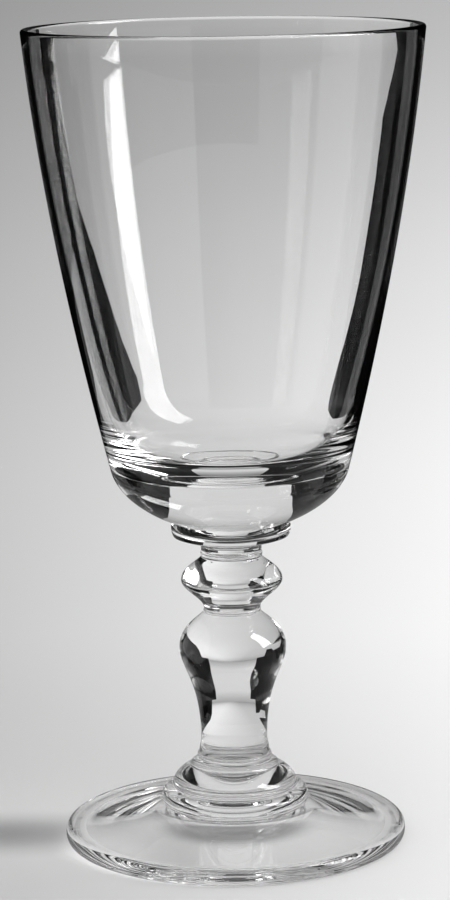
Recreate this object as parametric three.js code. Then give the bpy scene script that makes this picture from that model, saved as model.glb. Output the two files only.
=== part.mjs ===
import * as THREE from "three";

// A water goblet of clear blown glass, in millimetres, +Z up, standing on z = 0.
// It is made hot from separate gathers of glass on one axis, each fused flat to the one below,
// so each piece is drawn from its own lower joint upwards and then set on the stack.

// Bowl: blown, with a thick floor and a wall that thins towards the fire-polished lip
const bowlHeight = 103.1;
const rimRadius = 41.5;
const lipThickness = 1.5;
const bowlShoulderRadius = 25.0;
const bowlShoulderHeight = 11.2;
const bowlShoulderWall = 2.4;
const bowlFloorThickness = 10.6;
const cavityCornerHeight = 14.6;
const lowerFlareShare = 0.25;
const cavityFlareShare = 0.28;
const upperFlareShare = 0.1;

// Merese: the sharp-edged wafer under the bowl, drawn in to a short neck
const mereseHeight = 6.6;
const mereseRadius = 12.6;
const mereseEdgeThickness = 3.1;
const mereseTopRadius = 12.2;
const neckRadius = 6.4;

// Knop: a flattened oval bulb between two short necks
const knopHeight = 12.3;
const knopRadius = 10.7;
const knopWidestHeight = 6.2;
const knopBeadHeight = 0.9;

// Baluster: an inverted pear that tapers down to a nearly straight shank
const balusterHeight = 28.4;
const balusterRadius = 11.3;
const balusterWidestHeight = 20.0;
const balusterNeckRadius = 5.95;
const balusterBeadHeight = 0.7;
const shankRadius = 7.0;

// Stem ring: a small stepped collar that takes the shank down to the rings of the foot
const stemRingHeight = 5.7;
const stemRingRadius = 7.9;
const stemRingSkirtRadius = 9.5;
const stemRingSkirtHeight = 1.5;

// Shoulder ring: a domed wafer with a thin bead round its lower edge
const shoulderRingHeight = 4.5;
const shoulderRingRadius = 13.2;
const shoulderRingBeadHeight = 1.1;

// Base ring: the widest wafer, squashed down on the collar of the foot
const baseRingHeight = 2.8;
const baseRingRadius = 15.6;
const baseRingSeatRadius = 15.5;

// Foot: a dome of even thickness that sweeps up to a rounded collar, with a rolled rim and
// a deep hollow underneath, standing on a flat ground ring
const footHeight = 8.6;
const footRadius = 36.2;
const footRimThickness = 3.8;
const footHollowDepth = 6.6;
const footNeckRadius = 14.4;
const footCollarHeight = 1.2;
const groundRingRadius = 33.0;
const groundRingWidth = 2.4;

// Steps round the axis and along each curved stretch of an outline
const wideSides = 64;
const stemSides = 36;
const wideSteps = 6;
const stemSteps = 5;

const glassColour = 0xf2f6f5;
const glassRoughness = 0.04;
const glassOpacity = 0.45;

// An outline starts on the axis at the middle of the lower joint face.
function outlineFrom(height) {
  const outline = new THREE.Path();
  outline.moveTo(0, height);
  return outline;
}

// A swelling or a waist: the outline leaves its last point and reaches the next one along the axis.
function swell(outline, radius, height, leaveShare, reachShare) {
  const start = outline.currentPoint;
  const rise = height - start.y;
  outline.bezierCurveTo(
    start.x, start.y + leaveShare * rise,
    radius, height - reachShare * rise,
    radius, height,
  );
}

// A thin bead that stands proud of the radius on both sides of it.
function bead(outline, radius, height, proud) {
  const start = outline.currentPoint;
  const middle = (start.y + height) / 2;
  outline.quadraticCurveTo(start.x + proud, start.y, start.x + proud, middle);
  outline.quadraticCurveTo(start.x + proud, height, radius, height);
}

function turnedGlass(name, outline, steps, sides) {
  const geometry = new THREE.LatheGeometry(outline.getPoints(steps), sides);
  geometry.rotateX(Math.PI / 2);
  const material = new THREE.MeshStandardMaterial({
    color: glassColour,
    roughness: glassRoughness,
    metalness: 0,
    transparent: true,
    opacity: glassOpacity,
  });
  const mesh = new THREE.Mesh(geometry, material);
  mesh.name = name;
  return mesh;
}

function makeFoot() {
  const groundInner = groundRingRadius - groundRingWidth / 2;
  const groundOuter = groundRingRadius + groundRingWidth / 2;
  const rimMiddle = footRimThickness / 2;
  const rimTopRadius = footRadius - rimMiddle;
  const crownHeight = footHeight - footCollarHeight;
  const crownRise = crownHeight - footRimThickness;
  const hollowTopShare = 0.39;
  const hollowSlopeShare = 0.49;
  const hollowSlopeHeightShare = 0.4;
  const domeBreakShare = 0.3;
  const domeBreakRadius = footNeckRadius + domeBreakShare * (rimTopRadius - footNeckRadius);
  const domeBreakRiseShare = 0.16;

  const outline = outlineFrom(footHollowDepth);
  outline.bezierCurveTo(
    hollowTopShare * groundInner, footHollowDepth,
    hollowSlopeShare * groundInner, hollowSlopeHeightShare * footHollowDepth,
    groundInner, 0,
  );
  outline.lineTo(groundOuter, 0);
  outline.quadraticCurveTo(footRadius, 0, footRadius, rimMiddle);
  outline.quadraticCurveTo(footRadius, footRimThickness, rimTopRadius, footRimThickness);
  outline.quadraticCurveTo(
    domeBreakRadius, footRimThickness + domeBreakRiseShare * crownRise,
    footNeckRadius, crownHeight,
  );
  outline.quadraticCurveTo(baseRingSeatRadius, crownHeight, baseRingSeatRadius, footHeight);
  outline.lineTo(0, footHeight);
  return turnedGlass("foot", outline, wideSteps, wideSides);
}

function makeBaseRing() {
  const bulgeLowShare = 0.4;
  const bulgeHighShare = 0.95;
  const outline = outlineFrom(0);
  outline.lineTo(baseRingSeatRadius, 0);
  outline.bezierCurveTo(
    2 * baseRingRadius - baseRingSeatRadius, bulgeLowShare * baseRingHeight,
    baseRingRadius, bulgeHighShare * baseRingHeight,
    shoulderRingRadius, baseRingHeight,
  );
  outline.lineTo(0, baseRingHeight);
  return turnedGlass("base_ring", outline, stemSteps, stemSides);
}

function makeShoulderRing() {
  const beadProudShare = 0.01;
  const domeRise = shoulderRingHeight - shoulderRingBeadHeight;
  const domeLowShare = 0.25;
  const domeCapShare = 0.5;
  const domeFallShare = 0.2;
  const outline = outlineFrom(0);
  outline.lineTo(shoulderRingRadius, 0);
  bead(outline, shoulderRingRadius * (1 - 2 * beadProudShare), shoulderRingBeadHeight,
    beadProudShare * shoulderRingRadius);
  outline.bezierCurveTo(
    shoulderRingRadius, shoulderRingBeadHeight + domeLowShare * domeRise,
    stemRingSkirtRadius + domeCapShare * (shoulderRingRadius - stemRingSkirtRadius),
    shoulderRingHeight - domeFallShare * domeRise,
    stemRingSkirtRadius, shoulderRingHeight,
  );
  outline.lineTo(0, shoulderRingHeight);
  return turnedGlass("shoulder_ring", outline, stemSteps, stemSides);
}

function makeStemRing() {
  const stepShare = 0.3;
  const stepHeight = stemRingSkirtHeight + stepShare * (stemRingHeight - stemRingSkirtHeight);
  const drumRadius = (stemRingRadius + shankRadius) / 2;
  const proudShare = 0.02;
  const skirtTopRadius = stemRingRadius * (1 - proudShare);
  const drumLeaveShare = 0.5;
  const drumReachShare = 0.1;
  const outline = outlineFrom(0);
  outline.lineTo(stemRingSkirtRadius, 0);
  outline.quadraticCurveTo(stemRingSkirtRadius, stemRingSkirtHeight / 2, skirtTopRadius, stemRingSkirtHeight);
  bead(outline, drumRadius, stepHeight, proudShare * stemRingRadius);
  swell(outline, shankRadius, stemRingHeight, drumLeaveShare, drumReachShare);
  outline.lineTo(0, stemRingHeight);
  return turnedGlass("stem_ring", outline, stemSteps, stemSides);
}

function makeBaluster() {
  const neckHeight = balusterHeight - balusterBeadHeight;
  const shankShare = 0.645;
  const bellyShare = 0.23;
  const crownRise = neckHeight - balusterWidestHeight;
  const crownLowShare = 0.5;
  const crownHighShare = 0.26;
  const slopeShare = 1.1;
  const proudShare = 0.02;
  const outline = outlineFrom(0);
  outline.lineTo(shankRadius, 0);
  swell(outline, balusterRadius, balusterWidestHeight, shankShare, bellyShare);
  outline.bezierCurveTo(
    balusterRadius, balusterWidestHeight + crownLowShare * crownRise,
    balusterNeckRadius + slopeShare * crownHighShare * crownRise, neckHeight - crownHighShare * crownRise,
    balusterNeckRadius, neckHeight,
  );
  bead(outline, balusterNeckRadius, balusterHeight, proudShare * balusterNeckRadius);
  outline.lineTo(0, balusterHeight);
  return turnedGlass("baluster", outline, stemSteps, stemSides);
}

function makeKnop() {
  const neckHeight = knopHeight - knopBeadHeight;
  const waistShare = 0.38;
  const bulgeShare = 0.32;
  const upperBulgeShare = 0.5;
  const upperWaistShare = 0.22;
  const proudShare = 0.02;
  const outline = outlineFrom(0);
  outline.lineTo(balusterNeckRadius, 0);
  swell(outline, knopRadius, knopWidestHeight, waistShare, bulgeShare);
  swell(outline, neckRadius, neckHeight, upperBulgeShare, upperWaistShare);
  bead(outline, neckRadius, knopHeight, proudShare * neckRadius);
  outline.lineTo(0, knopHeight);
  return turnedGlass("knop", outline, stemSteps, stemSides);
}

function makeMerese() {
  const underRise = mereseHeight - mereseEdgeThickness;
  const neckShare = 0.3;
  const hollowShare = 0.65;
  const outline = outlineFrom(0);
  outline.lineTo(neckRadius, 0);
  outline.lineTo(neckRadius, neckShare * underRise);
  outline.bezierCurveTo(
    neckRadius, hollowShare * underRise,
    (neckRadius + mereseTopRadius) / 2, hollowShare * underRise,
    mereseTopRadius, underRise,
  );
  outline.quadraticCurveTo(
    2 * mereseRadius - mereseTopRadius, underRise + mereseEdgeThickness / 2,
    mereseTopRadius, mereseHeight,
  );
  outline.lineTo(0, mereseHeight);
  return turnedGlass("merese", outline, stemSteps, stemSides);
}

function makeBowl() {
  const lipMiddle = bowlHeight - lipThickness / 2;
  const wallRise = lipMiddle - bowlShoulderHeight;
  const handleShare = 1 / 3;
  const handle = handleShare * wallRise;
  const lipInnerRadius = rimRadius - lipThickness;
  const lipCapShare = 1 / 6;
  const lipTop = bowlHeight + lipCapShare * lipThickness;
  const seatReachShare = 0.55;
  const seatReach = seatReachShare * (bowlShoulderRadius - mereseTopRadius);
  const seatSlopeShare = 0.4;
  const shoulderHandleShare = 0.4;
  const shoulderHandle = shoulderHandleShare * bowlShoulderHeight;

  const cavityTop = bowlFloorThickness + cavityCornerHeight;
  const wallRadiusThere = bowlShoulderRadius + lowerFlareShare * (cavityTop - bowlShoulderHeight);
  const cavityRadius = wallRadiusThere - bowlShoulderWall;
  const cavityRise = lipMiddle - cavityTop;
  const innerHandle = handleShare * cavityRise;
  const cornerHandleShare = 0.68;
  const cornerHandle = cornerHandleShare * cavityCornerHeight;
  const floorShare = 0.79;

  const outline = outlineFrom(0);
  outline.lineTo(mereseTopRadius, 0);
  outline.bezierCurveTo(
    mereseTopRadius + seatReach, seatSlopeShare * seatReach,
    bowlShoulderRadius - lowerFlareShare * shoulderHandle, bowlShoulderHeight - shoulderHandle,
    bowlShoulderRadius, bowlShoulderHeight,
  );
  outline.bezierCurveTo(
    bowlShoulderRadius + lowerFlareShare * handle, bowlShoulderHeight + handle,
    rimRadius - upperFlareShare * handle, lipMiddle - handle,
    rimRadius, lipMiddle,
  );
  outline.bezierCurveTo(rimRadius, lipTop, lipInnerRadius, lipTop, lipInnerRadius, lipMiddle);
  outline.bezierCurveTo(
    lipInnerRadius - upperFlareShare * innerHandle, lipMiddle - innerHandle,
    cavityRadius + cavityFlareShare * innerHandle, cavityTop + innerHandle,
    cavityRadius, cavityTop,
  );
  outline.bezierCurveTo(
    cavityRadius - cavityFlareShare * cornerHandle, cavityTop - cornerHandle,
    floorShare * cavityRadius, bowlFloorThickness,
    0, bowlFloorThickness,
  );
  return turnedGlass("bowl", outline, wideSteps, wideSides);
}

// Each piece stands on the one before it, fused face to face.
const goblet = new THREE.Group();
const stack = [
  [makeFoot(), footHeight],
  [makeBaseRing(), baseRingHeight],
  [makeShoulderRing(), shoulderRingHeight],
  [makeStemRing(), stemRingHeight],
  [makeBaluster(), balusterHeight],
  [makeKnop(), knopHeight],
  [makeMerese(), mereseHeight],
  [makeBowl(), bowlHeight],
];
let jointHeight = 0;
for (const [piece, height] of stack) {
  piece.position.z = jointHeight;
  goblet.add(piece);
  jointHeight += height;
}

export default goblet;
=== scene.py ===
import math

import bmesh
import bpy
from mathutils import Matrix, Vector
from mathutils.geometry import interpolate_bezier


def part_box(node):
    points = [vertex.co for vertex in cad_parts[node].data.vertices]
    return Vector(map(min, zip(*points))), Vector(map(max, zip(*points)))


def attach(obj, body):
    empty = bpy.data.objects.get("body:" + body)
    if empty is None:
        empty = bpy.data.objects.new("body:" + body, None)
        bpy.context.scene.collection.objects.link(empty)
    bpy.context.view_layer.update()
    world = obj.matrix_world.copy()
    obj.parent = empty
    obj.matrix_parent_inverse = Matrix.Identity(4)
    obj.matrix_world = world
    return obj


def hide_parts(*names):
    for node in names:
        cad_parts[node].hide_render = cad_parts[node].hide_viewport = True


MM = 0.001
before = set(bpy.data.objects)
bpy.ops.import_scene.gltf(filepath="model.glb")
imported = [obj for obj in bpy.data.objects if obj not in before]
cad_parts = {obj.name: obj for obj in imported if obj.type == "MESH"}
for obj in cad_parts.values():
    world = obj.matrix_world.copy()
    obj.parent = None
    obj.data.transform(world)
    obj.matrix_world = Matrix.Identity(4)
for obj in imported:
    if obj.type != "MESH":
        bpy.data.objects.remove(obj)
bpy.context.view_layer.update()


# FOOT
# The foot is a gather of clear glass spun out hot into a shallow dome. Its rim is rolled and
# fire-polished, its underside is hollow, a low collar carries the stack of rings, and it stands
# on a narrow ring that was ground flat.
FOOT_RIM_THICKNESS = 3.8
FOOT_HOLLOW_DEPTH = 6.6
FOOT_NECK_RADIUS = 14.4
FOOT_COLLAR_HEIGHT = 1.2
BASE_SEAT_RADIUS = 15.5
GROUND_RING_RADIUS = 33.0
GROUND_RING_WIDTH = 2.4
FOOT_DOME_BREAK_SHARE = 0.30
FOOT_DOME_RISE_SHARE = 0.16
HOLLOW_CROWN_SHARE = 0.39
HOLLOW_FALL_SHARE = 0.49
HOLLOW_FALL_DEPTH_SHARE = 0.4
SIDES = 256
TURNS = 8
CURVE_STEPS = 28
SHARP_ANGLE = math.radians(38)
MERGE_DISTANCE = 1e-7
SEAM_TOLERANCE = 1e-3


def linear(hex_colour):
    """Turns an sRGB hex colour into linear RGBA."""
    channels = [int(hex_colour[i:i + 2], 16) / 255 for i in (1, 3, 5)]
    lit = [c / 12.92 if c <= 0.04045 else ((c + 0.055) / 1.055) ** 2.4 for c in channels]
    return (*lit, 1.0)


def grey(level):
    """A linear light level as RGBA."""
    return (level, level, level, 1)


def add_node(tree, kind, settings=None, links=None, **attributes):
    """Adds a node, sets its attributes and sockets, and links its inputs to other nodes."""
    made = tree.nodes.new(kind)
    for name, value in attributes.items():
        setattr(made, name, value)
    for socket, value in (settings or {}).items():
        made.inputs[socket].default_value = value
    for socket, (source, output) in (links or {}).items():
        tree.links.new(source.outputs[output], made.inputs[socket])
    return made


def new_material(name):
    """Starts an empty node material and gives it with its tree and its output node."""
    material = bpy.data.materials.new(name)
    material.use_nodes = True
    material.node_tree.nodes.clear()
    output = add_node(material.node_tree, "ShaderNodeOutputMaterial")
    return material, material.node_tree, output


def box_radius(node):
    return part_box(node)[1].x / MM


def box_heights(node):
    low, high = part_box(node)
    return low.z / MM, high.z / MM


def line_to(outline, radius, height):
    outline.append(Vector((radius, 0, height)))


def curve_to(outline, first_handle, second_handle, end, steps=CURVE_STEPS):
    """Draws a Bezier stretch from the outline's last point."""
    points = [Vector((radius, 0, height)) for radius, height in (first_handle, second_handle, end)]
    outline.extend(interpolate_bezier(outline[-1], *points, steps)[1:])


def bend_to(outline, corner, end, steps=CURVE_STEPS):
    """Rounds a corner: both handles point at it."""
    start = outline[-1]
    first = (start.x + (corner[0] - start.x) * 2 / 3, start.z + (corner[1] - start.z) * 2 / 3)
    second = (end[0] + (corner[0] - end[0]) * 2 / 3, end[1] + (corner[1] - end[1]) * 2 / 3)
    curve_to(outline, first, second, end, steps)


# Where two gathers are fused, light crosses unbent: the seam faces have no optical boundary.
seam_material, tree, output = new_material("fused_seam")
clear = add_node(tree, "ShaderNodeBsdfTransparent")
tree.links.new(clear.outputs["BSDF"], output.inputs["Surface"])


def turned_glass(node, outline, glass):
    """Spins an outline round the axis into a closed piece. Flat faces at its joints are seams."""
    shape = bmesh.new()
    verts = [shape.verts.new(point * MM) for point in outline]
    edges = [shape.edges.new(pair) for pair in zip(verts, verts[1:])]
    bmesh.ops.spin(shape, geom=verts + edges, cent=(0, 0, 0), axis=(0, 0, 1),
                   angle=math.tau / TURNS, steps=SIDES // TURNS)
    wedge = shape.verts[:] + shape.edges[:] + shape.faces[:]
    for turn in range(1, TURNS):
        copied = bmesh.ops.duplicate(shape, geom=wedge)["geom"]
        copied_verts = [item for item in copied if isinstance(item, bmesh.types.BMVert)]
        bmesh.ops.rotate(shape, verts=copied_verts, cent=(0, 0, 0),
                         matrix=Matrix.Rotation(math.tau * turn / TURNS, 3, "Z"))
    bmesh.ops.remove_doubles(shape, verts=shape.verts, dist=MERGE_DISTANCE)
    bmesh.ops.recalc_face_normals(shape, faces=shape.faces)
    low, high = box_heights(node)
    for face in shape.faces:
        face.smooth = True
        heights = [vert.co.z / MM for vert in face.verts]
        at_low = node != "foot" and max(heights) < low + SEAM_TOLERANCE
        at_high = node != "bowl" and min(heights) > high - SEAM_TOLERANCE
        face.material_index = 1 if at_low or at_high else 0
    mesh = bpy.data.meshes.new(node + "_glass")
    shape.to_mesh(mesh)
    shape.free()
    mesh.materials.append(glass)
    mesh.materials.append(seam_material)
    mesh.set_sharp_from_angle(angle=SHARP_ANGLE)
    piece = bpy.data.objects.new(node + "_glass", mesh)
    bpy.context.scene.collection.objects.link(piece)
    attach(piece, "root")
    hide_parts(node)
    return piece


# Clear soda-lime glass, blown and tooled by hand. It is perfectly smooth and glossy, but faint
# cords drawn out along the axis make its reflections waver a little.
GLASS_IOR = 1.52
CORD_SPACING = 4.0
CORD_LENGTH = 60.0
CORD_DEPTH = 0.003
across = 1 / CORD_SPACING / MM
along = 1 / CORD_LENGTH / MM
glass_material, tree, output = new_material("clear_glass")
place = add_node(tree, "ShaderNodeTexCoord")
cord_space = add_node(tree, "ShaderNodeMapping", {"Scale": (across, across, along)},
                      {"Vector": (place, "Object")})
cords = add_node(tree, "ShaderNodeTexNoise", {"Scale": 1.0, "Detail": 2.0},
                 {"Vector": (cord_space, "Vector")})
cord_bump = add_node(tree, "ShaderNodeBump", {"Strength": 1.0, "Distance": CORD_DEPTH * MM},
                     {"Height": (cords, "Fac")})
surface = add_node(tree, "ShaderNodeBsdfPrincipled", {
    "Base Color": linear("#FBFBFB"), "Roughness": 0.0, "IOR": GLASS_IOR,
    "Transmission Weight": 1.0}, {"Normal": (cord_bump, "Normal")})
# Light on its way to the floor passes the glass, and less of it where it meets the surface at a
# slant, so the shadow is soft and has darker outlines.
ray = add_node(tree, "ShaderNodeLightPath")
slant = add_node(tree, "ShaderNodeLayerWeight", {"Blend": 0.5})
shade = add_node(tree, "ShaderNodeValToRGB", links={0: (slant, "Facing")})
shade.color_ramp.elements[0].color = grey(1.0)
shade.color_ramp.elements[1].color = grey(0.15)
shade.color_ramp.elements.new(0.6).color = grey(0.93)
passed = add_node(tree, "ShaderNodeBsdfTransparent", links={"Color": (shade, "Color")})
mixed = add_node(tree, "ShaderNodeMixShader",
                 links={0: (ray, "Is Shadow Ray"), 1: (surface, 0), 2: (passed, 0)})
tree.links.new(mixed.outputs[0], output.inputs["Surface"])

foot_radius = box_radius("foot")
foot_low, foot_high = box_heights("foot")
ground_inner = GROUND_RING_RADIUS - GROUND_RING_WIDTH / 2
ground_outer = GROUND_RING_RADIUS + GROUND_RING_WIDTH / 2
rim_middle = FOOT_RIM_THICKNESS / 2
rim_top_radius = foot_radius - rim_middle
crown_height = foot_high - FOOT_COLLAR_HEIGHT
dome_break = FOOT_NECK_RADIUS + FOOT_DOME_BREAK_SHARE * (rim_top_radius - FOOT_NECK_RADIUS)
dome_break_height = FOOT_RIM_THICKNESS + FOOT_DOME_RISE_SHARE * (crown_height - FOOT_RIM_THICKNESS)
outline = [Vector((0, 0, FOOT_HOLLOW_DEPTH))]
curve_to(outline, (HOLLOW_CROWN_SHARE * ground_inner, FOOT_HOLLOW_DEPTH),
         (HOLLOW_FALL_SHARE * ground_inner, HOLLOW_FALL_DEPTH_SHARE * FOOT_HOLLOW_DEPTH),
         (ground_inner, foot_low))
line_to(outline, ground_outer, foot_low)
bend_to(outline, (foot_radius, foot_low), (foot_radius, rim_middle))
bend_to(outline, (foot_radius, FOOT_RIM_THICKNESS), (rim_top_radius, FOOT_RIM_THICKNESS))
bend_to(outline, (dome_break, dome_break_height), (FOOT_NECK_RADIUS, crown_height))
bend_to(outline, (BASE_SEAT_RADIUS, crown_height), (BASE_SEAT_RADIUS, foot_high))
line_to(outline, 0, foot_high)
foot = turned_glass("foot", outline, glass_material)


# BASE RING
# The widest wafer of glass in the stack. It was squashed hot on the crown of the foot, so its
# edge bulges and its top draws in.
BASE_RING_RADIUS = 15.6
SHOULDER_RADIUS = 13.2
BASE_EDGE_SHARE = 0.4
BASE_TOP_SHARE = 0.95
base_low, base_high = box_heights("base_ring")
base_rise = base_high - base_low
outline = [Vector((0, 0, base_low))]
line_to(outline, BASE_SEAT_RADIUS, base_low)
curve_to(outline, (2 * BASE_RING_RADIUS - BASE_SEAT_RADIUS, base_low + BASE_EDGE_SHARE * base_rise),
         (BASE_RING_RADIUS, base_low + BASE_TOP_SHARE * base_rise), (SHOULDER_RADIUS, base_high))
line_to(outline, 0, base_high)
base_ring = turned_glass("base_ring", outline, glass_material)


# SHOULDER RING
# A domed wafer of glass with a thin bead round its lower edge, fused on the base ring. Its
# shoulders are full and its top falls off to the skirt of the stem ring.
SKIRT_RADIUS = 9.5
SHOULDER_BEAD_HEIGHT = 1.1
SHOULDER_BEAD_SHARE = 0.01
DOME_LOW_SHARE = 0.25
DOME_CAP_SHARE = 0.5
DOME_FALL_SHARE = 0.2
BEAD_STEPS = 10


def bead_to(outline, radius, height, proud):
    """A thin bead that stands proud of the outline between two heights."""
    start = outline[-1]
    middle = (start.z + height) / 2
    crest = start.x + proud
    bend_to(outline, (crest, start.z), (crest, middle), BEAD_STEPS)
    bend_to(outline, (crest, height), (radius, height), BEAD_STEPS)


shoulder_low, shoulder_high = box_heights("shoulder_ring")
bead_proud = SHOULDER_BEAD_SHARE * SHOULDER_RADIUS
bead_top = shoulder_low + SHOULDER_BEAD_HEIGHT
dome_rise = shoulder_high - bead_top
outline = [Vector((0, 0, shoulder_low))]
line_to(outline, SHOULDER_RADIUS, shoulder_low)
bead_to(outline, SHOULDER_RADIUS - 2 * bead_proud, bead_top, bead_proud)
curve_to(outline, (SHOULDER_RADIUS, bead_top + DOME_LOW_SHARE * dome_rise),
         (SKIRT_RADIUS + DOME_CAP_SHARE * (SHOULDER_RADIUS - SKIRT_RADIUS),
          shoulder_high - DOME_FALL_SHARE * dome_rise),
         (SKIRT_RADIUS, shoulder_high))
line_to(outline, 0, shoulder_high)
shoulder_ring = turned_glass("shoulder_ring", outline, glass_material)


# STEM RING
# A small stepped collar of clear glass with a flared skirt, where the shank of the stem meets the
# rings. It was tooled hot and fused on, and a thin bead marks its step.
STEM_RING_RADIUS = 7.9
SHANK_RADIUS = 7.0
SKIRT_HEIGHT = 1.5
SKIRT_TOP_SHARE = 0.98
STEP_SHARE = 0.3
SEAM_BEAD_SHARE = 0.02


def swell_to(outline, radius, height, leave_share, reach_share):
    """A swelling or a waist: the outline leaves and arrives along the axis."""
    start = outline[-1]
    rise = height - start.z
    curve_to(outline, (start.x, start.z + leave_share * rise),
             (radius, height - reach_share * rise), (radius, height))


stem_low, stem_high = box_heights("stem_ring")
skirt_top = stem_low + SKIRT_HEIGHT
step_height = skirt_top + STEP_SHARE * (stem_high - skirt_top)
outline = [Vector((0, 0, stem_low))]
line_to(outline, SKIRT_RADIUS, stem_low)
bend_to(outline, (SKIRT_RADIUS, (stem_low + skirt_top) / 2),
        (STEM_RING_RADIUS * SKIRT_TOP_SHARE, skirt_top))
bead_to(outline, (STEM_RING_RADIUS + SHANK_RADIUS) / 2, step_height,
        SEAM_BEAD_SHARE * STEM_RING_RADIUS)
swell_to(outline, SHANK_RADIUS, stem_high, leave_share=0.5, reach_share=0.1)
line_to(outline, 0, stem_high)
stem_ring = turned_glass("stem_ring", outline, glass_material)


# BALUSTER
# A solid inverted pear of glass, drawn down hot to a nearly straight shank. The thin bead on its
# top is where it was fused to the knop.
BALUSTER_WIDEST_HEIGHT = 20.0
BALUSTER_NECK_RADIUS = 5.95
BALUSTER_BEAD_HEIGHT = 0.7
CROWN_ROUND_SHARE = 0.5
CROWN_NECK_SHARE = 0.26
CROWN_NECK_FLARE = 1.1
baluster_low, baluster_high = box_heights("baluster")
baluster_radius = box_radius("baluster")
baluster_widest = baluster_low + BALUSTER_WIDEST_HEIGHT
neck_height = baluster_high - BALUSTER_BEAD_HEIGHT
crown_rise = neck_height - baluster_widest
outline = [Vector((0, 0, baluster_low))]
line_to(outline, SHANK_RADIUS, baluster_low)
swell_to(outline, baluster_radius, baluster_widest, leave_share=0.645, reach_share=0.23)
curve_to(outline, (baluster_radius, baluster_widest + CROWN_ROUND_SHARE * crown_rise),
         (BALUSTER_NECK_RADIUS + CROWN_NECK_FLARE * CROWN_NECK_SHARE * crown_rise,
          neck_height - CROWN_NECK_SHARE * crown_rise),
         (BALUSTER_NECK_RADIUS, neck_height))
bead_to(outline, BALUSTER_NECK_RADIUS, baluster_high, SEAM_BEAD_SHARE * BALUSTER_NECK_RADIUS)
line_to(outline, 0, baluster_high)
baluster = turned_glass("baluster", outline, glass_material)


# KNOP
# A flattened oval bulb of solid glass between two short necks, with a thin bead where it was
# fused to the merese.
KNOP_WIDEST_HEIGHT = 6.2
KNOP_BEAD_HEIGHT = 0.9
NECK_RADIUS = 6.4
knop_low, knop_high = box_heights("knop")
knop_radius = box_radius("knop")
outline = [Vector((0, 0, knop_low))]
line_to(outline, BALUSTER_NECK_RADIUS, knop_low)
swell_to(outline, knop_radius, knop_low + KNOP_WIDEST_HEIGHT, leave_share=0.38, reach_share=0.32)
swell_to(outline, NECK_RADIUS, knop_high - KNOP_BEAD_HEIGHT, leave_share=0.5, reach_share=0.22)
bead_to(outline, NECK_RADIUS, knop_high, SEAM_BEAD_SHARE * NECK_RADIUS)
line_to(outline, 0, knop_high)
knop = turned_glass("knop", outline, glass_material)


# MERESE
# The sharp-edged wafer of clear glass that joins the bowl to the stem. It was pressed flat while it
# was hot, and drawn in to a short neck below.
MERESE_RADIUS = 12.6
MERESE_TOP_RADIUS = 12.2
MERESE_THICKNESS = 3.1
MERESE_NECK_SHARE = 0.3
MERESE_FLARE_SHARE = 0.65
merese_low, merese_high = box_heights("merese")
under_rise = merese_high - merese_low - MERESE_THICKNESS
merese_under = merese_low + under_rise
flare_height = merese_low + MERESE_FLARE_SHARE * under_rise
outline = [Vector((0, 0, merese_low))]
line_to(outline, NECK_RADIUS, merese_low)
line_to(outline, NECK_RADIUS, merese_low + MERESE_NECK_SHARE * under_rise)
curve_to(outline, (NECK_RADIUS, flare_height),
         ((NECK_RADIUS + MERESE_TOP_RADIUS) / 2, flare_height), (MERESE_TOP_RADIUS, merese_under))
bend_to(outline, (2 * MERESE_RADIUS - MERESE_TOP_RADIUS, (merese_under + merese_high) / 2),
        (MERESE_TOP_RADIUS, merese_high))
line_to(outline, 0, merese_high)
merese = turned_glass("merese", outline, glass_material)


# BOWL
# Blown on the iron from one gather of clear glass, with a thick solid floor and a wall that thins
# to a fire-polished lip. It is fused on the merese.
LIP_THICKNESS = 1.5
BOWL_SHOULDER_RADIUS = 25.0
BOWL_SHOULDER_HEIGHT = 11.2
BOWL_FLOOR_THICKNESS = 10.6
CAVITY_CORNER_HEIGHT = 14.6
CAVITY_RADIUS = 26.1
LOWER_FLARE = 0.25
UPPER_FLARE = 0.10
CAVITY_FLARE = 0.28
SEAT_REACH_SHARE = 0.55
SEAT_RISE_SHARE = 0.4
SHOULDER_HANDLE_SHARE = 0.4
CORNER_HANDLE_SHARE = 0.68
FLOOR_HANDLE_SHARE = 0.79
bowl_low, bowl_high = box_heights("bowl")
rim_radius = box_radius("bowl")
bowl_shoulder = bowl_low + BOWL_SHOULDER_HEIGHT
floor_height = bowl_low + BOWL_FLOOR_THICKNESS
cavity_top = floor_height + CAVITY_CORNER_HEIGHT
lip_middle = bowl_high - LIP_THICKNESS / 2
lip_inner = rim_radius - LIP_THICKNESS
# The lip's handles stand a little above it, so that its crest just reaches the bowl's top.
lip_handle = bowl_high + LIP_THICKNESS / 6
wall_handle = (lip_middle - bowl_shoulder) / 3
inner_handle = (lip_middle - cavity_top) / 3
seat_reach = SEAT_REACH_SHARE * (BOWL_SHOULDER_RADIUS - MERESE_TOP_RADIUS)
shoulder_handle = SHOULDER_HANDLE_SHARE * (bowl_shoulder - bowl_low)
corner_handle = CORNER_HANDLE_SHARE * CAVITY_CORNER_HEIGHT
floor_handle = FLOOR_HANDLE_SHARE * CAVITY_RADIUS
outline = [Vector((0, 0, bowl_low))]
line_to(outline, MERESE_TOP_RADIUS, bowl_low)
curve_to(outline, (MERESE_TOP_RADIUS + seat_reach, bowl_low + SEAT_RISE_SHARE * seat_reach),
         (BOWL_SHOULDER_RADIUS - LOWER_FLARE * shoulder_handle, bowl_shoulder - shoulder_handle),
         (BOWL_SHOULDER_RADIUS, bowl_shoulder))
curve_to(outline, (BOWL_SHOULDER_RADIUS + LOWER_FLARE * wall_handle, bowl_shoulder + wall_handle),
         (rim_radius - UPPER_FLARE * wall_handle, lip_middle - wall_handle),
         (rim_radius, lip_middle))
curve_to(outline, (rim_radius, lip_handle), (lip_inner, lip_handle), (lip_inner, lip_middle))
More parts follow.
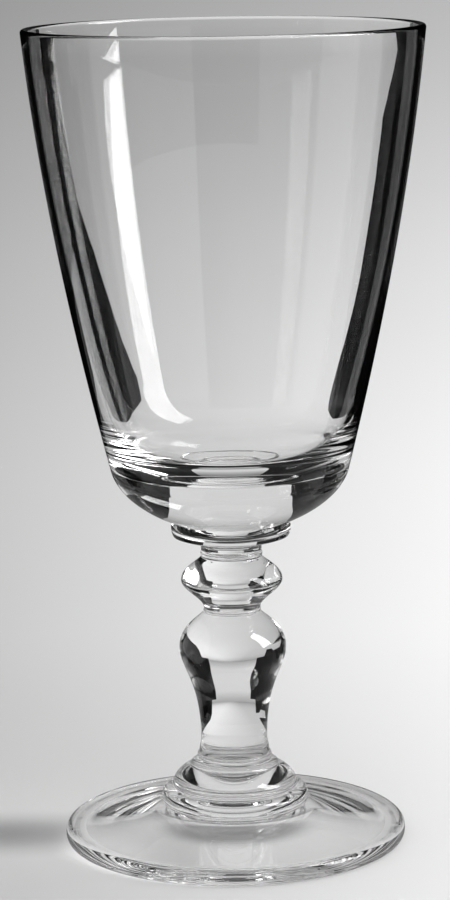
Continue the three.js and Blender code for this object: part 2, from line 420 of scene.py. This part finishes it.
curve_to(outline, (lip_inner - UPPER_FLARE * inner_handle, lip_middle - inner_handle),
         (CAVITY_RADIUS + CAVITY_FLARE * inner_handle, cavity_top + inner_handle),
         (CAVITY_RADIUS, cavity_top))
curve_to(outline, (CAVITY_RADIUS - CAVITY_FLARE * corner_handle, cavity_top - corner_handle),
         (floor_handle, floor_height), (0, floor_height))
bowl = turned_glass("bowl", outline, glass_material)


# FLOOR
# A wide sheet of pale paper, so broad that it fills the photo's view behind the goblet. Its colour
# carries painted shade: darker to the left, away from the window, close round the goblet, and
# slowly with distance. It is uncoated and matt, so it scatters all its light and mirrors nothing.
FLOOR_RADIUS = 9.5
FLOOR_SIDES = 64
LEFT_LIGHT = 0.66
SPREAD_START = 0.65
SHADOW_CENTRE = (-0.055, 0.003, 0)
SHADOW_SIZE = (0.060, 0.019, 1)
SHADOW_LIGHT = 0.48
CROWN_LIGHT = 0.42
GATHERED_LIGHT = 1.5
MIRRORED_LOSS = 0.70
floor_material, tree, output = new_material("pale_floor")
spot = add_node(tree, "ShaderNodeTexCoord")
axes = add_node(tree, "ShaderNodeSeparateXYZ", links={0: (spot, "Object")})
distance = add_node(tree, "ShaderNodeVectorMath", links={0: (spot, "Object")}, operation="LENGTH")
fall = add_node(tree, "ShaderNodeMapRange",
                {"From Min": 0.05, "From Max": 4.5, "To Min": 0.0, "To Max": 1.0},
                {"Value": (distance, "Value")})
# The ramp holds painted shade: darker close round the goblet and slowly darker with distance.
paper_and_shade = add_node(tree, "ShaderNodeValToRGB", links={0: (fall, "Result")})
paper_and_shade.color_ramp.elements[0].color = linear("#E0E0E0")
paper_and_shade.color_ramp.elements[1].color = linear("#DCDCDC")
for share, colour in ((0.03, "#EBEBEB"), (0.08, "#EBEBEB"), (0.16, "#E5E5E5"), (0.30, "#E1E1E1")):
    paper_and_shade.color_ramp.elements.new(share).color = linear(colour)
# The painted shade on the left fans out with depth, and it fades towards the front.
ahead = add_node(tree, "ShaderNodeMath", {1: SPREAD_START}, {0: (axes, "Y")}, operation="ADD")
spread = add_node(tree, "ShaderNodeMath", {1: 0.15}, {0: (ahead, 0)}, operation="MAXIMUM")
aside = add_node(tree, "ShaderNodeMath", links={0: (axes, "X"), 1: (spread, 0)},
                 operation="DIVIDE")
side = add_node(tree, "ShaderNodeMapRange",
                {"From Min": -0.075, "From Max": 0.075, "To Min": LEFT_LIGHT, "To Max": 1.0},
                {"Value": (aside, 0)})
behind = add_node(tree, "ShaderNodeMapRange", {"From Min": -0.45, "From Max": -0.12},
                  {"Value": (axes, "Y")})
shaded = add_node(tree, "ShaderNodeMix", {"A": 1.0},
                  {"Factor": (behind, "Result"), "B": (side, "Result")}, data_type="FLOAT")
# Near the window the sheet's colour darkens: painted shade, so that the window won't burn it out.
window_side = add_node(tree, "ShaderNodeMath", links={0: (axes, "X"), 1: (axes, "Y")},
                       operation="SUBTRACT")
window_shade = add_node(tree, "ShaderNodeMapRange",
                  {"From Min": 0.16, "From Max": 1.2, "To Min": 1.0, "To Max": 0.42},
                  {"Value": (window_side, 0)})
even = add_node(tree, "ShaderNodeMath", links={0: (shaded, 0), 1: (window_shade, "Result")},
                operation="MULTIPLY")
# Three marks are painted in the sheet's colour: the goblet's painted shadow away from the window,
# painted shade under its thick crown, and the painted light that its foot gathers on the left.
shadow_place = add_node(tree, "ShaderNodeMapping",
                        {"Location": SHADOW_CENTRE, "Scale": SHADOW_SIZE},
                        {"Vector": (spot, "Object")}, vector_type="TEXTURE")
shadow_shape = add_node(tree, "ShaderNodeTexGradient", links={"Vector": (shadow_place, "Vector")},
                        gradient_type="SPHERICAL")
shadow = add_node(tree, "ShaderNodeMapRange",
                  {"From Max": 0.95, "To Min": 1.0, "To Max": SHADOW_LIGHT},
                  {"Value": (shadow_shape, "Fac")}, interpolation_type="SMOOTHSTEP")
crown_shade = add_node(tree, "ShaderNodeMapRange",
                       {"From Min": 0.010, "From Max": 0.019, "To Min": CROWN_LIGHT, "To Max": 1.0},
                       {"Value": (distance, "Value")}, interpolation_type="SMOOTHSTEP")
gathered = add_node(tree, "ShaderNodeMapRange", {
    "From Min": -0.027, "From Max": -0.010, "To Min": GATHERED_LIGHT, "To Max": 1.0},
    {"Value": (axes, "X")}, interpolation_type="SMOOTHSTEP")
under_foot = add_node(tree, "ShaderNodeMapRange",
                      {"From Min": 0.032, "From Max": 0.036, "To Min": 1.0, "To Max": 0.0},
                      {"Value": (distance, "Value")})
foot_light = add_node(tree, "ShaderNodeMath",
                      links={0: (gathered, "Result"), 1: (crown_shade, "Result")},
                      operation="MULTIPLY")
shades = add_node(tree, "ShaderNodeMix", links={
    "Factor": (under_foot, "Result"), "A": (shadow, "Result"), "B": (foot_light, 0)},
    data_type="FLOAT")
own_level = add_node(tree, "ShaderNodeMath", links={0: (even, 0), 1: (shades, 0)},
                     operation="MULTIPLY")
# In mirror reflections on the glass the floor is dim, so that they don't grey its dark bands.
# Light that came through the glass counts as transmitted and sees it in full.
ray = add_node(tree, "ShaderNodeLightPath")
glare = add_node(tree, "ShaderNodeMath",
                 links={0: (ray, "Is Glossy Ray"), 1: (ray, "Is Transmission Ray")},
                 operation="SUBTRACT", use_clamp=True)
mirrored = add_node(tree, "ShaderNodeMath", {1: -MIRRORED_LOSS, 2: 1.0}, {0: (glare, 0)},
                    operation="MULTIPLY_ADD")
level = add_node(tree, "ShaderNodeMath", links={0: (own_level, 0), 1: (mirrored, 0)},
                 operation="MULTIPLY")
MIXED_COLOUR = 2  # the place of a Mix node's colour among its outputs
paper = add_node(tree, "ShaderNodeMix", {"Factor": 1.0}, {"A": (paper_and_shade, "Color"), "B": (level, 0)},
                 data_type="RGBA", blend_type="MULTIPLY")
matt = add_node(tree, "ShaderNodeBsdfDiffuse", links={"Color": (paper, MIXED_COLOUR)})
tree.links.new(matt.outputs["BSDF"], output.inputs["Surface"])
shape = bmesh.new()
bmesh.ops.create_circle(shape, cap_ends=True, segments=FLOOR_SIDES, radius=FLOOR_RADIUS)
mesh = bpy.data.meshes.new("floor")
shape.to_mesh(mesh)
shape.free()
mesh.materials.append(floor_material)
floor = bpy.data.objects.new("floor", mesh)
bpy.context.scene.collection.objects.link(floor)


# BLACK FLAGS
# Cards and strips of black felt round the lit ground give clear glass its dark outlines. Neither
# the camera nor the floor sees them: only light that the glass has bent or mirrored does.
GROUND_GAP = 0.0006
CARD_TOP = 0.7
FLAG_BOTTOM = 0.09
LANE_BOTTOM = 0.035
SWEEP_STEPS = 24
# Felt swallows nearly all the light that meets it, so it stays an even black.
flag_material, tree, output = new_material("black_felt")
dark = add_node(tree, "ShaderNodeBsdfDiffuse", {"Color": linear("#0A0A0A")})
tree.links.new(dark.outputs["BSDF"], output.inputs["Surface"])


def keep_flag(name, shape, glossy=True):
    """Makes a flag's object. Mirror reflections see it only if it is glossy."""
    mesh = bpy.data.meshes.new(name)
    shape.to_mesh(mesh)
    shape.free()
    mesh.materials.append(flag_material)
    flag = bpy.data.objects.new(name, mesh)
    bpy.context.scene.collection.objects.link(flag)
    flag.visible_camera = False
    flag.visible_diffuse = False
    flag.visible_glossy = glossy
    flag.visible_shadow = False


def sweep_flag(name, sections, first, last, ground_edge=None, glossy=True):
    """Sweeps sections of radii and heights round the goblet, between two bearings from its back.
    A ground edge is a plane's point and normal, and what lies beyond it is cut off."""
    shape = bmesh.new()
    first, last = math.radians(first), math.radians(last)
    for section in sections:
        verts = [shape.verts.new((radius * math.sin(first), radius * math.cos(first), height))
                 for radius, height in section]
        edges = [shape.edges.new(pair) for pair in zip(verts, verts[1:])]
        bmesh.ops.spin(shape, geom=verts + edges, cent=(0, 0, 0), axis=(0, 0, -1),
                       angle=last - first, steps=SWEEP_STEPS)
    if ground_edge:
        point, normal = ground_edge
        bmesh.ops.bisect_plane(shape, geom=shape.verts[:] + shape.edges[:] + shape.faces[:],
                               plane_co=point, plane_no=normal, clear_outer=True)
    keep_flag(name, shape, glossy)


def stand_card(name, start, end, low, high, lean=0.0):
    """Stands a flat upright card on a line between two points. Its first edge can lean."""
    shape = bmesh.new()
    shift = lean * (high - low)
    corners = [(*start, low), (*end, low), (*end, high), (start[0] + shift, start[1], high)]
    shape.faces.new([shape.verts.new(corner) for corner in corners])
    keep_flag(name, shape)


# Two near cards stand behind the goblet. Their inner edges, as distances from its axis and
# heights, are cut to the shape of the bowl's dark bands.
NEAR_DISTANCE = 0.120
RIGHT_EDGE = [(0.038, 0.035), (0.036, 0.050), (0.0368, 0.060), (0.0385, 0.075), (0.0415, 0.0928),
              (0.0430, 0.108), (0.0445, 0.122), (0.0469, 0.143), (0.0535, 0.159), (0.0545, 0.7)]
LEFT_EDGE = [(0.036, 0.035), (0.034, 0.050), (0.0290, 0.062), (0.0295, 0.073), (0.0322, 0.081),
             (0.0359, 0.0956), (0.0399, 0.110), (0.0448, 0.123), (0.0482, 0.143),
             (0.0510, 0.160), (0.0520, 0.7)]
for name, sign, edge, outer in (("near_right", 1, RIGHT_EDGE, 0.0895),
                                ("near_left", -1, LEFT_EDGE, 0.053)):
    shape = bmesh.new()
    corners = edge + [(outer, edge[-1][1]), (outer, edge[0][1])]
    shape.faces.new([shape.verts.new((sign * x, NEAR_DISTANCE, z)) for x, z in corners])
    keep_flag(name, shape)

# The other cards close off the room on both sides. On the left they leave a lane of open ground.
stand_card("side_right", (0.082, 0.030), (0.092, 0.150), GROUND_GAP, CARD_TOP)
stand_card("side_right_far", (0.092, 0.150), (0.130, 0.245), GROUND_GAP, CARD_TOP)
stand_card("wing_right", (0.082, 0.030), (0.300, 0.046), GROUND_GAP, CARD_TOP)
stand_card("flag_right_low", (0.130, 0.245), (0.30, 0.245), GROUND_GAP, FLAG_BOTTOM, lean=-0.5)
stand_card("flag_right", (0.085, 0.245), (0.30, 0.245), FLAG_BOTTOM, CARD_TOP)
stand_card("lane_left", (-0.053, 0.120), (-0.170, 0.245), LANE_BOTTOM, CARD_TOP)
stand_card("lane_left_far", (-0.170, 0.245), (-0.290, 0.374), GROUND_GAP, CARD_TOP)
stand_card("lane_left_end", (-0.290, 0.374), (-0.374, 0.290), GROUND_GAP, CARD_TOP)
stand_card("lane_left_out", (-0.374, 0.290), (-0.121, 0.054), GROUND_GAP, CARD_TOP)
stand_card("wing_left", (-0.121, 0.054), (-0.420, 0.058), GROUND_GAP, CARD_TOP)
stand_card("flag_left_low", (-0.130, 0.245), (-0.170, 0.245), GROUND_GAP, FLAG_BOTTOM, lean=0.5)
stand_card("flag_left", (-0.085, 0.245), (-0.170, 0.245), FLAG_BOTTOM, CARD_TOP)

# A strip of felt lies on the ground at the far left, and a dark wall stands in front, behind the
# photographer. A louvre of low slanting slats covers the near ground on the left.
WALL_RADIUS = 0.45
SLAT_HEIGHT = 0.004
SLAT_SLOPE = 0.45
LOUVRE_START = 0.085
LOUVRE_DENSE_END = 0.15
LOUVRE_END = 0.17
LOUVRE_EDGE = ((-0.078, 0.030, 0), (0.975, 0.222, 0))
sweep_flag("felt_far_left", [[(0.05, GROUND_GAP), (0.80, GROUND_GAP)]], -86, -62)
sweep_flag("wall_front", [[(WALL_RADIUS, GROUND_GAP), (WALL_RADIUS, CARD_TOP)]], 160, 246,
           glossy=False)
slat_width = SLAT_HEIGHT / SLAT_SLOPE
slats = []
slat_reach = LOUVRE_START
while slat_reach < LOUVRE_END:
    slats.append([(slat_reach, SLAT_HEIGHT), (slat_reach + slat_width, GROUND_GAP)])
    slat_reach += slat_width / (2 if slat_reach < LOUVRE_DENSE_END else 1)
sweep_flag("louvre_left", slats, -62, -12, LOUVRE_EDGE, glossy=False)


# LIGHT
# One tall window on the right gives the long white reflection, and the soft room light the rest.
WINDOW_AZIMUTH = math.radians(77)
WINDOW_SLANT = math.radians(8)
WINDOW_DISTANCE = 1.6
WINDOW_SIZE = (0.76, 2.1)
WINDOW_SILL = 0.37
WINDOW_RADIANCE = 10.0
window_data = bpy.data.lights.new("window", "AREA")
window_data.shape = "RECTANGLE"
window_data.size, window_data.size_y = WINDOW_SIZE
window_data.energy = WINDOW_RADIANCE * math.pi * WINDOW_SIZE[0] * WINDOW_SIZE[1]
window = bpy.data.objects.new("window", window_data)
window.location = (WINDOW_DISTANCE * math.sin(WINDOW_AZIMUTH),
                   -WINDOW_DISTANCE * math.cos(WINDOW_AZIMUTH), WINDOW_SILL + WINDOW_SIZE[1] / 2)
window.rotation_euler = (Matrix.Rotation(WINDOW_AZIMUTH, 3, "Z")
                         @ Matrix.Rotation(math.pi / 2, 3, "X")
                         @ Matrix.Rotation(WINDOW_SLANT, 3, "Z")).to_euler()
bpy.context.scene.collection.objects.link(window)

# The room gives soft light all round. The camera and the light through the glass see a pale
# backdrop under a dark ceiling, and mirror reflections a dim room.
world = bpy.data.worlds.new("room")
world.use_nodes = True
world.node_tree.nodes.clear()
tree = world.node_tree
output = add_node(tree, "ShaderNodeOutputWorld")
path = add_node(tree, "ShaderNodeLightPath")
sky = add_node(tree, "ShaderNodeTexCoord")
height = add_node(tree, "ShaderNodeSeparateXYZ", links={0: (sky, "Generated")})
ceiling = add_node(tree, "ShaderNodeValToRGB", links={0: (height, "Z")})
ceiling.color_ramp.elements[0].color = grey(0.42)
ceiling.color_ramp.elements[1].color = grey(0.05)
for share, light in ((0.12, 0.70), (0.40, 0.72), (0.75, 0.05)):
    ceiling.color_ramp.elements.new(share).color = grey(light)
room_light = add_node(tree, "ShaderNodeBackground", {"Color": grey(0.66), "Strength": 1.0})
dim_room = add_node(tree, "ShaderNodeBackground", {"Color": grey(0.03), "Strength": 1.0})
backdrop = add_node(tree, "ShaderNodeBackground", {"Strength": 1.0}, {"Color": (ceiling, "Color")})
lit = add_node(tree, "ShaderNodeMixShader",
               links={0: (path, "Is Glossy Ray"), 1: (room_light, 0), 2: (dim_room, 0)})
seen = add_node(tree, "ShaderNodeMath",
                links={0: (path, "Is Camera Ray"), 1: (path, "Is Transmission Ray")},
                operation="MAXIMUM")
mixed = add_node(tree, "ShaderNodeMixShader", links={0: (seen, 0), 1: (lit, 0), 2: (backdrop, 0)})
tree.links.new(mixed.outputs[0], output.inputs["Surface"])
bpy.context.scene.world = world


# CAMERA
# It looks down a little at the goblet from 0.65 m, and it leans by about one degree.
CAMERA_PLACE = (-0.000979, -0.64883, 0.20408)
FOCAL_PIXELS = 3150.7
PHOTO_HEIGHT = 900
SENSOR_WIDTH = 36.0
PITCH = math.radians(10.502)
ROLL = math.radians(0.936)
camera_data = bpy.data.cameras.new("camera")
camera_data.sensor_width = SENSOR_WIDTH
camera_data.lens = SENSOR_WIDTH * FOCAL_PIXELS / PHOTO_HEIGHT
camera = bpy.data.objects.new("camera", camera_data)
forward = Vector((0, math.cos(PITCH), -math.sin(PITCH)))
level_right = Vector((1, 0, 0))
level_up = Vector((0, math.sin(PITCH), math.cos(PITCH)))
right = level_right * math.cos(ROLL) - level_up * math.sin(ROLL)
up = level_right * math.sin(ROLL) + level_up * math.cos(ROLL)
turn = Matrix((right, up, -forward)).transposed().to_4x4()
camera.matrix_world = Matrix.Translation(CAMERA_PLACE) @ turn
bpy.context.scene.collection.objects.link(camera)
bpy.context.scene.camera = camera

# Light crosses many surfaces in thick glass, so it may bounce more often than usual.
scene = bpy.context.scene
scene.view_settings.view_transform = "Standard"
scene.cycles.max_bounces = 32
scene.cycles.transmission_bounces = 32
scene.cycles.glossy_bounces = 16
scene.cycles.transparent_max_bounces = 48
